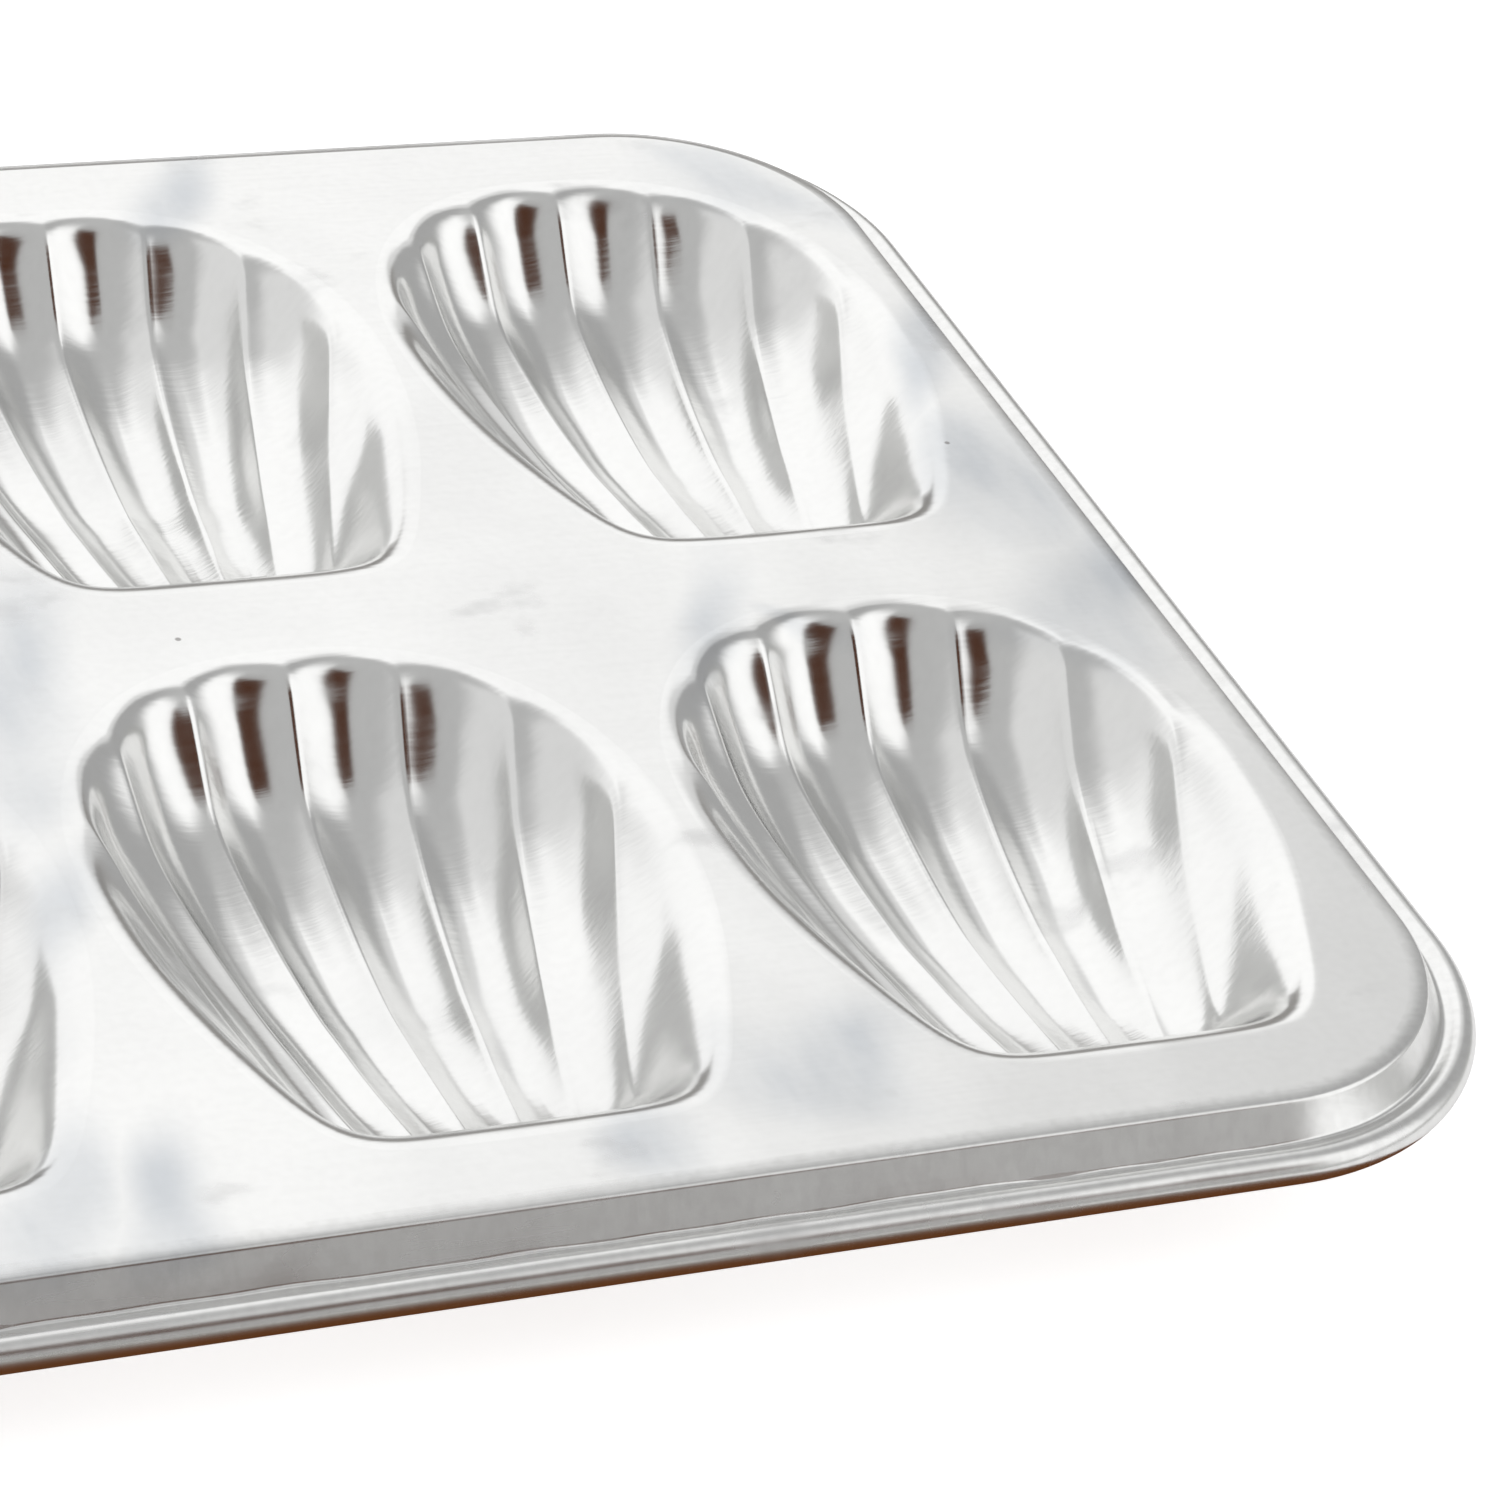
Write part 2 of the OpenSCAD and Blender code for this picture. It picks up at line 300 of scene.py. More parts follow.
class PanStudio(bpy.types.PropertyGroup):
    """The camera as in the photograph, and the light round the pan."""

    place: bpy.props.FloatVectorProperty(
        name="Place", description="Where the camera stands", subtype="XYZ", default=(-0.0675, -0.4179, 0.3083)
    )
    turn: bpy.props.FloatVectorProperty(
        name="Turn",
        description="How the camera is turned",
        subtype="EULER",
        default=(math.radians(55.824), math.radians(-8.470), math.radians(-21.945)),
    )
    lens: bpy.props.FloatProperty(name="Lens", description="Focal length in mm on 36 mm", default=125.59)
    back: bpy.props.FloatVectorProperty(
        name="Back", description="Light of the wall behind the pan", subtype="COLOR", default=(1.13, 1.13, 1.13), soft_max=2
    )
    right_back: bpy.props.FloatVectorProperty(
        name="Right back", description="Shade behind the pan to the right", subtype="COLOR", default=(0.42, 0.42, 0.42), soft_max=2
    )
    right_front: bpy.props.FloatVectorProperty(
        name="Right front", description="Bright wall in front to the right", subtype="COLOR", default=(1.15, 1.15, 1.15), soft_max=2
    )
    left_back: bpy.props.FloatVectorProperty(
        name="Left back", description="Brightest wall, behind the pan to the left", subtype="COLOR", default=(1.12, 1.12, 1.12), soft_max=2
    )
    side: bpy.props.FloatVectorProperty(
        name="Side", description="Greyer end of the wall behind the pan", subtype="COLOR", default=(0.77, 0.77, 0.77), soft_max=2
    )
    low_back: bpy.props.FloatVectorProperty(
        name="Low back", description="Foot of the wall behind the pan", subtype="COLOR", default=(0.3, 0.29, 0.28), soft_max=2
    )
    low: bpy.props.FloatVectorProperty(
        name="Low", description="Foot of the walls in front and to the right", subtype="COLOR", default=(0.42, 0.42, 0.41), soft_max=2
    )
    front: bpy.props.FloatVectorProperty(
        name="Front", description="Wall in front", subtype="COLOR", default=(0.42, 0.415, 0.41), soft_max=2
    )
    room: bpy.props.FloatVectorProperty(
        name="Room", description="Dark room seen over the wall in front", subtype="COLOR", default=(0.06, 0.014, 0.0), soft_max=2
    )
    front_left: bpy.props.FloatVectorProperty(
        name="Front left", description="Wall in front to the left", subtype="COLOR", default=(0.52, 0.52, 0.52), soft_max=2
    )
    left: bpy.props.FloatVectorProperty(
        name="Left", description="Wall to the left", subtype="COLOR", default=(0.78, 0.78, 0.78), soft_max=2
    )
    ceiling: bpy.props.FloatVectorProperty(
        name="Ceiling", description="Light from overhead", subtype="COLOR", default=(0.52, 0.52, 0.52), soft_max=2
    )
    # Card and card far colour a glowing card that only the metal sees: a painted reflection of a dark brown surround
    # and, near the pan, a painted shadow of the floor the pan shades
    card: bpy.props.FloatVectorProperty(
        name="Card", description="Dark floor in front that the rolled edge mirrors", subtype="COLOR", default=(0.12, 0.042, 0.013), soft_max=2
    )
    card_far: bpy.props.FloatVectorProperty(
        name="Card far", description="The same floor further away", subtype="COLOR", default=(0.33, 0.31, 0.29), soft_max=2
    )
    floor_glow: bpy.props.FloatProperty(name="Floor glow", description="Own light of the floor that metal sees", default=0.3)
    floor_white: bpy.props.FloatProperty(name="Floor white", description="Own light of the floor in the picture", default=0.74)


def mouth(cups, angle):
    """Distance from a cup's centre to its mouth: a superellipse to the rear, joined smoothly
    (by a high power mean) to two slanted straight sides and a straight front."""
    across = np.abs(np.sin(angle))
    along = np.cos(angle)
    rear = (across / cups.half_width) ** cups.rear_power + (np.maximum(along, 0) / cups.rear_reach) ** cups.rear_power
    rear = rear ** (1 / cups.rear_power)
    slant = across * math.cos(cups.side_taper) - along * math.sin(cups.side_taper)
    side = np.maximum(slant, 0) / cups.side_reach
    front = np.maximum(-along, 0) / cups.front_reach
    power = cups.corner_power
    return (rear**power + side**power + front**power) ** (-1 / power)


def lip_point(cups, angle):
    """Point on the outer line of the lip at an angle from the rear direction."""
    reach = mouth(cups, angle) + cups.lip_width
    return reach * np.sin(angle), reach * np.cos(angle)


def smooth_step(value, first, last):
    """Zero before first, one after last, and a smooth cubic between them."""
    t = np.clip((value - first) / (last - first), 0, 1)
    return t * t * (3 - 2 * t)


def half_flute(cups, y):
    """Half the width of a flute: it grows evenly with the distance from the point of the fan."""
    return (y + cups.fan_reach) * cups.fan_step


def ridge(cups, x, y):
    """One on the ridges, zero midway between them: a power of the closeness to the nearest even
    fan line, with the tip rounded by a square root."""
    line = x / half_flute(cups, y)
    apart = np.abs(line - 2 * np.round(line / 2))
    apart = np.where(np.abs(line) > LAST_LINE, 1, apart)
    apart = np.sqrt(apart**2 + (cups.ridge_soft * (1 - apart)) ** 2)
    return np.maximum(1 - apart, 0) ** cups.ridge_power


def roll(cups, q):
    """Zero at the lip line, then rising smoothly (the integral of a smooth step) to a slope of one."""
    width = 2 * cups.lip_width
    t = np.clip(q / width, 0, 1)
    return np.where(q > width, q - width / 2, width * (t**3 - t**4 / 2))


def by_side(angle, rear, side, front):
    """A value that turns from the rear to the sides and the front with the squared cosine."""
    along = np.cos(angle)
    return side + (rear - side) * np.maximum(along, 0) ** 2 + (front - side) * np.maximum(-along, 0) ** 2


def bowl(cups, x, y):
    """Depth of the smooth bowl: the lesser, by a high power mean, of a steep wall and a floor that
    rises outwards as a power of the way in from the mouth. Ridges notch the mouth at the rear."""
    angle = np.arctan2(x, y)
    reach = mouth(cups, angle)
    inward = reach + cups.lip_width - np.hypot(x, y)
    notch = cups.scallop * smooth_step(np.cos(angle), -0.5, 0.5) * ridge(cups, x, y)
    way = roll(cups, np.maximum(inward - notch * smooth_step(inward, 0, cups.lip_width * 0.8), 0))
    outer = 1 - np.clip(way / reach, 0, 1)
    rise = by_side(angle, cups.rear_rise, cups.side_rise, cups.front_rise)
    curve = by_side(angle, cups.rear_curve, cups.side_curve, cups.front_curve)
    floor = cups.depth * (1 - rise * outer**curve)
    wall = math.tan(cups.wall_angle) * way + 1e-6
    return (floor**-cups.meeting + wall**-cups.meeting) ** (-1 / cups.meeting)


def cup_surface(cups, x, y):
    """A cup's upper surface: the bowl, sunk along its normal in the flutes between the ridges,
    less on the wall, and starting lower down at the front."""
    step = 0.05 * MM
    depth = bowl(cups, x, y)
    slope_x = (bowl(cups, x + step, y) - bowl(cups, x - step, y)) / (2 * step)
    slope_y = (bowl(cups, x, y + step) - bowl(cups, x, y - step)) / (2 * step)
    normal = np.stack([slope_x, slope_y, np.ones_like(x)], -1)
    normal /= np.linalg.norm(normal, axis=-1, keepdims=True)
    angle = np.arctan2(x, y)
    reach = mouth(cups, angle)
    lip = cups.lip_width
    inward = reach + lip - np.hypot(x, y)
    front = smooth_step(-np.cos(angle), 0.3, 0.85)
    grown = smooth_step(inward, (0.6 + front) * lip, 2.3 * (1 + front) * lip)
    deeper = cups.wall_flute + (1 - cups.wall_flute) * smooth_step((inward - lip) / reach, 0.15, 0.6)
    sunk = cups.flute_share * half_flute(cups, y) * grown * deeper * (1 - ridge(cups, x, y))
    return np.stack([x, y, -depth], -1) - normal * sunk[..., None]


def fan_crossing(cups, line, outside):
    """Where fan lines cross the lip, by halving the way from the centre to a point outside."""
    inner = np.zeros_like(line)
    outer = np.full_like(line, outside)
    for _ in range(40):
        y = (inner + outer) / 2
        x = half_flute(cups, y) * line
        inside = np.hypot(x, y) < mouth(cups, np.arctan2(x, y)) + cups.lip_width
        inner = np.where(inside, y, inner)
        outer = np.where(inside, outer, y)
    return inner


def cup_plan(cups, per_flute, side_columns, row_count):
    """Plan grid of a cup: columns follow the fan of ridges, and beyond the outermost ridges they
    bend over to the curved sides; rows run from the front lip to the rear lip, closer at both ends."""
    line = np.linspace(-LAST_LINE, LAST_LINE, 2 * LAST_LINE * per_flute + 1)
    v = np.linspace(0, 1, row_count)
    v = v - 0.12 * np.sin(2 * math.pi * v)
    front = fan_crossing(cups, line, -0.07)
    rear = fan_crossing(cups, line, 0.07)
    y = front[:, None] + (rear - front)[:, None] * v
    x = half_flute(cups, y) * line[:, None]
    edge_x, edge_y = x[-1], y[-1]
    front_angle = math.atan2(edge_x[0], edge_y[0])
    rear_angle = math.atan2(edge_x[-1], edge_y[-1])
    side_front = front_angle - math.radians(5)
    side_rear = rear_angle + math.radians(7)
    side_x, side_y = lip_point(cups, side_front + (side_rear - side_front) * v)
    w = (np.arange(side_columns) + 1)[:, None] / side_columns
    blend_x = edge_x * (1 - w) + side_x * w
    blend_y = edge_y * (1 - w) + side_y * w
    start_x, start_y = lip_point(cups, front_angle + (side_front - front_angle) * w)
    end_x, end_y = lip_point(cups, rear_angle + (side_rear - rear_angle) * w)
    blend_x = blend_x + (1 - v) * (start_x - blend_x[:, :1]) + v * (end_x - blend_x[:, -1:])
    blend_y = blend_y + (1 - v) * (start_y - blend_y[:, :1]) + v * (end_y - blend_y[:, -1:])
    x = np.vstack([-blend_x[::-1], x, blend_x])
    y = np.vstack([blend_y[::-1], y, blend_y])
    return x, y


def grid_faces(columns, rows, first=0, flipped=False):
    """Quads of a grid of columns by rows of points, counted from a first index."""
    i, j = np.meshgrid(np.arange(columns - 1), np.arange(rows - 1), indexing="ij")
    a = first + i * rows + j
    quads = np.stack([a, a + rows, a + rows + 1, a + 1], -1).reshape(-1, 4)
    return quads[:, ::-1] if flipped else quads


def grid_edge(columns, rows):
    """Indices round the edge of a grid, once, against the clock seen from the side its faces show."""
    bottom = np.arange(columns) * rows
    right = (columns - 1) * rows + np.arange(1, rows)
    top = np.arange(columns - 2, -1, -1) * rows + rows - 1
    left = np.arange(rows - 2, 0, -1)
    return np.concatenate([bottom, right, top, left])


def make_piece(name, points, faces, material, smooth=True):
    """A mesh object at the origin from arrays of points and faces."""
    mesh = bpy.data.meshes.new(name)
    mesh.from_pydata(points.reshape(-1, 3).tolist(), [], faces.tolist())
    mesh.update()
    if smooth:
        mesh.shade_smooth()
    mesh.materials.append(material)
    piece = bpy.data.objects.new(name, mesh)
    bpy.context.scene.collection.objects.link(piece)
    return piece


def sharpen(piece, degrees):
    """Marks the edges that turn by more than an angle as sharp."""
    piece.data.set_sharp_from_angle(angle=math.radians(degrees))


def cup_shell(cups):
    """Points and faces of one closed cup shell: the upper grid, the same grid moved down by the
    sheet's thickness along its normals, and the wall round the edge."""
    x, y = cup_plan(cups, 14, 22, 124)
    columns, rows = x.shape
    upper = cup_surface(cups, x, y)
    edge = grid_edge(columns, rows)
    along = np.gradient(upper, axis=0)
    across = np.gradient(upper, axis=1)
    normal = np.cross(along, across)
    normal /= np.linalg.norm(normal, axis=-1, keepdims=True)
    flat_normal = normal.reshape(-1, 3)
    flat_normal[edge] = (0, 0, 1)
    upper.reshape(-1, 3)[edge, 2] = 0
    lower = upper.reshape(-1, 3) - flat_normal * cups.sheet
    count = columns * rows
    ring = np.roll(edge, -1)
    wall = np.stack([edge + count, ring + count, ring, edge], -1)
    faces = np.concatenate([grid_faces(columns, rows), grid_faces(columns, rows, count, True), wall])
    return np.concatenate([upper.reshape(-1, 3), lower]), faces, upper.reshape(-1, 3)[edge], (columns, rows)


def spread(values, low, high):
    """Values stretched about their middle until their first and last reach low and high."""
    middle = (values[0] + values[-1]) / 2
    share = (values - middle) / (values[-1] - middle)
    return middle + np.where(share > 0, share * (high - middle), share * (middle - low))


def cell_edge(columns, rows, inner, low, high, pivots, corner):
    """Points round a rectangular cell of the deck in the order of the cup's own edge. At front and rear
    they are the cup's points stretched sideways. At the sides they lie level with the cup's points, and
    only near the ends spread to the cell's corners, by the fifth power. A corner of the deck is rounded,
    and at the rear its points crowd towards the side by a power of their share of the quarter turn."""
    front = spread(inner[:columns, 0], low[0], high[0])
    rear = spread(inner[columns + rows - 2 : 2 * columns + rows - 2, 0][::-1], low[0], high[0])
    v = np.linspace(0, 1, rows)
    side = inner[columns - 1 : columns + rows - 1, 1]
    y = side + (low[1] - side[0]) * (1 - v) ** 5 + (high[1] - side[-1]) * v**5
    edge = np.concatenate(
        [
            np.column_stack([front, np.full(columns, low[1])]),
            np.column_stack([np.full(rows - 1, high[0]), y[1:]]),
            np.column_stack([rear[-2::-1], np.full(columns - 1, high[1])]),
            np.column_stack([np.full(rows - 2, low[0]), y[-2:0:-1]]),
        ]
    )
    for side in ((-1, -1), (-1, 1), (1, -1), (1, 1)):
        pivot = side * pivots
        beyond = (edge - pivot) * side
        hit = (beyond > 0).all(axis=1)
        share = np.arctan2(beyond[hit, 1], beyond[hit, 0]) / (math.pi / 2)
        turn = share ** (2.4 if side[1] > 0 else 1) * math.pi / 2
        edge[hit] = pivot + np.column_stack([np.cos(turn), np.sin(turn)]) * side * corner
    return edge


def on_deck_edge(plan, pivots, corner):
    """Which points lie on the outline of the flat deck."""
    beyond = np.maximum(np.abs(plan) - pivots, 0)
    return np.abs(np.linalg.norm(beyond, axis=1) - corner) < 1e-7


class PAN_OT_cups(bpy.types.Operator):
    """Builds the twelve fluted cups"""

    bl_idname = "pan.cups"
    bl_label = "Cups"

    def execute(self, context):
        points, faces, _, _ = cup_shell(context.scene.pan_cups)
        tin = tin_cup()
        for row in ROWS:
            for column in range(1, COLUMNS + 1):
                x, y = cup_centre(row, column)
                piece = make_piece(f"shell_{row}{column}", points + (x, y, DECK_TOP), faces, tin)
                sharpen(piece, 80)
                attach(piece, "root")
                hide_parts(f"cup_{row}{column}")
        return {"FINISHED"}


class PAN_OT_deck(bpy.types.Operator):
    """Builds the flat deck between the cups, cell by cell"""

    bl_idname = "pan.deck"
    bl_label = "Deck"

    def execute(self, context):
        cups = context.scene.pan_cups
        rim = context.scene.pan_rim
        pivots = np.array([HALF_X, HALF_Y]) - rim.corner
        corner = rim.corner - rim.margin - rim.inset
        half_x, half_y = pivots + corner
        _, _, ring, (columns, rows) = cup_shell(cups)
        middles = [cup_centre("a", column)[0] for column in range(1, COLUMNS + 1)]
        x_lines = [-half_x, *[(a + b) / 2 for a, b in zip(middles, middles[1:])], half_x]
        parting = (cup_centre("a", 1)[1] + cup_centre("b", 1)[1]) / 2
        y_lines = {"a": (parting, half_y), "b": (-half_y, parting)}
        share = np.linspace(0, 1, DECK_RINGS)[:, None]
        count = len(ring)
        i = np.arange(count)
        after = (i + 1) % count
        points, faces = [], []
        for row in ROWS:
            for column in range(COLUMNS):
                low = (x_lines[column], y_lines[row][0])
                high = (x_lines[column + 1], y_lines[row][1])
                inner = ring[:, :2] + cup_centre(row, column + 1)
                outer = cell_edge(columns, rows, inner, low, high, pivots, corner)
                plan = (inner[:, None] * (1 - share) + outer[:, None] * share).reshape(-1, 2)
                first = sum(len(p) for p in points)
                under = len(plan)
                for z in (DECK_TOP, DECK_TOP - cups.sheet):
                    points.append(np.column_stack([plan, np.full(under, z)]))
                for k in range(DECK_RINGS - 1):
                    a = first + i * DECK_RINGS + k
                    b = first + after * DECK_RINGS + k
                    faces.append(np.stack([a, a + 1, b + 1, b], -1))
                    faces.append(np.stack([b, b + 1, a + 1, a], -1) + under)
                a, b = first + i * DECK_RINGS, first + after * DECK_RINGS
                faces.append(np.stack([a, b, b + under, a + under], -1))
                border = on_deck_edge(outer, pivots, corner)
                free = border[i] & border[after]
                a, b = (a + DECK_RINGS - 1)[free], (b + DECK_RINGS - 1)[free]
                faces.append(np.stack([b, a, a + under, b + under], -1))
        piece = make_piece("deck_sheet", np.concatenate(points), np.concatenate(faces), tin_sheet())
        weld(piece)
        sharpen(piece, 60)
        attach(piece, "root")
        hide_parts("deck")
        return {"FINISHED"}


def weld(piece):
    """Merges the points that neighbouring cells share."""
    work = bmesh.new()
    work.from_mesh(piece.data)
    bmesh.ops.remove_doubles(work, verts=work.verts, dist=1e-7)
    work.to_mesh(piece.data)
    work.free()
    piece.data.update()


def deck_path(corner, per_corner, spacing):
    """Points and outward normals along the deck's edge: four straight sides and four round corners."""
    points, normals = [], []
    straight_x = HALF_X - corner
    straight_y = HALF_Y - corner
    centres = [(straight_x, straight_y), (-straight_x, straight_y), (-straight_x, -straight_y), (straight_x, -straight_y)]
    for quarter, centre in enumerate(centres):
        angle = math.pi / 2 * (quarter + np.linspace(0, 1, per_corner))
        out = np.column_stack([np.cos(angle), np.sin(angle)])
        points.append(np.array(centre) + corner * out)
        normals.append(out)
        following = np.array(centres[(quarter + 1) % 4]) + corner * out[-1]
        start = points[-1][-1]
        steps = int(np.linalg.norm(following - start) / spacing)
        share = np.linspace(0, 1, steps + 1)[1:-1, None]
        points.append(start * (1 - share) + following * share)
        normals.append(np.repeat(out[-1:], len(share), axis=0))
    return np.concatenate(points), np.concatenate(normals)


def arc(centre, radius, start, end, count):
    """Points of an arc in the profile plane, angles from the outward direction."""
    angle = np.linspace(start, end, count)
    return np.column_stack([centre[0] + radius * np.cos(angle), centre[1] + radius * np.sin(angle)])


def bend(start, corner, end, count):
    """Points of a parabola that leaves start and reaches end along lines from a corner."""
    t = np.linspace(0, 1, count)[:, None]
    return (1 - t) ** 2 * np.array(start) + 2 * t * (1 - t) * np.array(corner) + t**2 * np.array(end)


def rim_profile(rim, sheet):
    """Closed section of margin, fold, skirt and rolled edge, outward and down from the deck's edge: a margin
    that falls as the square of its width to the slope margin_fall, an arc, a slope, a hollow crease bent
    round a corner, most of a turn round the wire, and the same way back a sheet inside."""
    turn = rim.skirt_angle
    fall = rim.margin_fall
    top = math.pi / 2
    share = np.linspace(0, 1, 9)
    drop = math.tan(fall) * rim.margin / 2
    margin = np.column_stack([(share - 1) * rim.margin - rim.inset, -drop * share**2])
    fold_centre = (-rim.inset - rim.fold * math.sin(fall), -drop - rim.fold * math.cos(fall))
    outer_fold = arc(fold_centre, rim.fold, top - fall, top - turn, 8)[1:]
    inner_fold = arc(fold_centre, rim.fold - sheet, top - turn, top - fall, 8)[:-1]
    roll_centre = (rim.roll_out, -rim.roll_down)
    closing = math.radians(-188)
    outer_roll = arc(roll_centre, rim.roll_radius, math.radians(128), closing, 38)
    inner_roll = arc(roll_centre, rim.wire_radius + 0.02 * MM, closing, math.radians(166), 34)
    crease = np.array([rim.crease_out, -rim.crease_down])
    above = crease + (outer_fold[-1] - crease) * 0.12
    beyond = crease + (outer_roll[0] - crease) * 0.6
    hollow = bend(above, crease, beyond, 7)
    outside = np.concatenate([margin, outer_fold, hollow, outer_roll])
    return np.concatenate([outside, inner_roll, inner_fold, margin[::-1] - (0, sheet)])


class PAN_OT_rim(bpy.types.Operator):
    """Builds the skirt and the rolled edge, one section carried round the deck, its crease a little wavy"""

    bl_idname = "pan.rim"
    bl_label = "Rim"

    def execute(self, context):
        rim = context.scene.pan_rim
        section = rim_profile(rim, context.scene.pan_cups.sheet)
        path, out = deck_path(rim.corner, 33, 2 * MM)
        along = np.concatenate([[0], np.cumsum(np.linalg.norm(np.diff(path, axis=0), axis=1))])
        turns = np.array([19, 31, 53, 97]) * 2 * math.pi / (along[-1] + 2 * MM)
        wave = np.sin(along[:, None] * turns + [0.4, 2.1, 4.0, 5.2]).mean(axis=1)
        near = np.exp(-(np.linalg.norm(section - (rim.crease_out, -rim.crease_down), axis=1) / MM) ** 2)
        flat = path[:, None] + out[:, None] * section[:, :1]
        height = DECK_TOP + section[:, 1] + rim.waviness * wave[:, None] * near
        eased = np.clip(1 + (section[:, 0] + rim.inset) / rim.margin, 0, 1)
        above_crease = np.clip((rim.crease_out - section[:, 0]) / (rim.crease_out + rim.inset), 0, 1)
        height -= rim.rear_drop * np.clip(out[:, 1:], 0, 1) * eased * above_crease
        points = np.concatenate([flat, height[..., None]], axis=-1)
        columns, rows = points.shape[:2]
        i, j = np.meshgrid(np.arange(columns), np.arange(rows), indexing="ij")
        after_i = (i + 1) % columns
        after_j = (j + 1) % rows
        quads = np.stack([i * rows + j, i * rows + after_j, after_i * rows + after_j, after_i * rows + j], -1)
        piece = make_piece("rim_sheet", points, quads.reshape(-1, 4), tin_edge())
        sharpen(piece, 50)
        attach(piece, "root")
        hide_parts("skirt", "rolled_edge")
        return {"FINISHED"}


class PAN_OT_wire(bpy.types.Operator):
    """Gives the wire inside the rolled edge its bare steel"""

    bl_idname = "pan.wire"
    bl_label = "Edge wire"

    def execute(self, context):
        finish = context.scene.pan_finish
        steel = new_material("bare_steel", finish.wire, 0.35, 0.0002, 0.1)
        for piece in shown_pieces():
            if piece.get("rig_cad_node") == "edge_wire":
                for slot in piece.material_slots:
                    slot.material = steel
        return {"FINISHED"}


def wear_group():
    """Shader group of worn tin: faint clouds, smudges, brushing and specks over object space.
    It puts out a colour, a roughness and a height, all of which vary over the sheet."""
    name = "tin_wear"
    if name in bpy.data.node_groups:
        return bpy.data.node_groups[name]
    group = bpy.data.node_groups.new(name, "ShaderNodeTree")
    face = group.interface
    for label, kind in (("Vector", "NodeSocketVector"), ("Tin", "NodeSocketColor"), ("Roughness", "NodeSocketFloat"), ("Grain", "NodeSocketFloat")):
        face.new_socket(label, in_out="INPUT", socket_type=kind)
    for label, kind in (("Color", "NodeSocketColor"), ("Roughness", "NodeSocketFloat"), ("Height", "NodeSocketFloat")):
        face.new_socket(label, in_out="OUTPUT", socket_type=kind)
    given = node(group, "NodeGroupInput")
    made = node(group, "NodeGroupOutput")
    clouds = noise(group, given.outputs["Vector"], (26, 26, 26), 3, 0.45, 0.68)
    drift = node(group, "ShaderNodeTexNoise", Scale=40, Detail=0.5)
    centred = node(group, "ShaderNodeVectorMath", operation="MULTIPLY_ADD")
    centred.inputs[1].default_value = (0.016, 0.036, 0)
    centred.inputs[2].default_value = (-0.008, -0.018, 0)
    adrift = node(group, "ShaderNodeVectorMath", operation="ADD")
    group.links.new(given.outputs["Vector"], drift.inputs["Vector"])
    group.links.new(drift.outputs["Color"], centred.inputs[0])
    group.links.new(given.outputs["Vector"], adrift.inputs[0])
    group.links.new(centred.outputs["Vector"], adrift.inputs[1])
    haze = None
    for x, y, wide, long in HAZE:
        placed = node(group, "ShaderNodeMapping", vector_type="TEXTURE")
        placed.inputs["Location"].default_value = (x * MM, y * MM, DECK_TOP)
        placed.inputs["Rotation"].default_value = (0, 0, math.radians(-25))
        placed.inputs["Scale"].default_value = (wide * MM, long * MM, 3 * MM)
        far = node(group, "ShaderNodeVectorMath", operation="LENGTH")
        group.links.new(adrift.outputs["Vector"], placed.inputs["Vector"])
        group.links.new(placed.outputs["Vector"], far.inputs[0])
        patch = span(group, far.outputs["Value"], 0.1, 1.3, 1, 0)
        haze = patch if haze is None else arithmetic(group, "MAXIMUM", haze, patch)
    smudges = noise(group, given.outputs["Vector"], (70, 95, 80), 5, 0.6, 0.74)
    brushing = noise(group, given.outputs["Vector"], (60, 1500, 700), 3, 0.3, 0.7)
    grain = noise(group, given.outputs["Vector"], (900, 900, 300), 4, 0.35, 0.7)
    cells = node(group, "ShaderNodeTexVoronoi", Scale=48)
    group.links.new(given.outputs["Vector"], cells.inputs["Vector"])
    near = span(group, cells.outputs["Distance"], 0.01, 0.02, 1, 0)
    chosen = span(group, cells.outputs["Color"], 0.62, 0.63, 0, 1)
    specks = product(group, near, chosen)
    colour = blended(group, product(group, clouds, 0.22), given.outputs["Tin"], (0.72, 0.72, 0.72))
    veil = noise(group, given.outputs["Vector"], (150, 50, 80), 3, 0.25, 0.75)
    uneven = span(group, veil, 0.0, 1.0, 0.6, 1.0)
    colour = blended(group, product(group, product(group, haze, uneven), 0.9), colour, (0.57, 0.595, 0.625))
    colour = blended(group, product(group, smudges, 0.35), colour, (0.66, 0.66, 0.66))
    colour = blended(group, product(group, specks, 0.7), colour, (0.2, 0.19, 0.18))
    colour = blended(group, product(group, grain, given.outputs["Grain"]), colour, (0.25, 0.24, 0.22))
    group.links.new(colour, made.inputs["Color"])
    rough = total(group, given.outputs["Roughness"], product(group, clouds, 0.03))
    rough = total(group, rough, product(group, smudges, 0.1))
    rough = total(group, rough, product(group, brushing, 0.015))
    group.links.new(rough, made.inputs["Roughness"])
    dents = noise(group, given.outputs["Vector"], (34, 34, 34), 1, 0.0, 1.0)
    ripples = noise(group, given.outputs["Vector"], (110, 70, 90), 1, 0.0, 1.0)
    height = total(group, product(group, brushing, 0.006), total(group, dents, product(group, ripples, 0.1)))
    group.links.new(height, made.inputs["Height"])
    return group


def noise(tree, vector, scale, detail, low, high):
    """Fractal noise stretched by a scale on each axis, spread from 0 at low to 1 at high."""
    stretched = node(tree, "ShaderNodeVectorMath", operation="MULTIPLY")
    stretched.inputs[1].default_value = scale
    field = node(tree, "ShaderNodeTexNoise", Scale=1.0, Detail=detail)
    tree.links.new(vector, stretched.inputs[0])
    tree.links.new(stretched.outputs["Vector"], field.inputs["Vector"])
    return span(tree, field.outputs["Fac"], low, high, 0, 1)


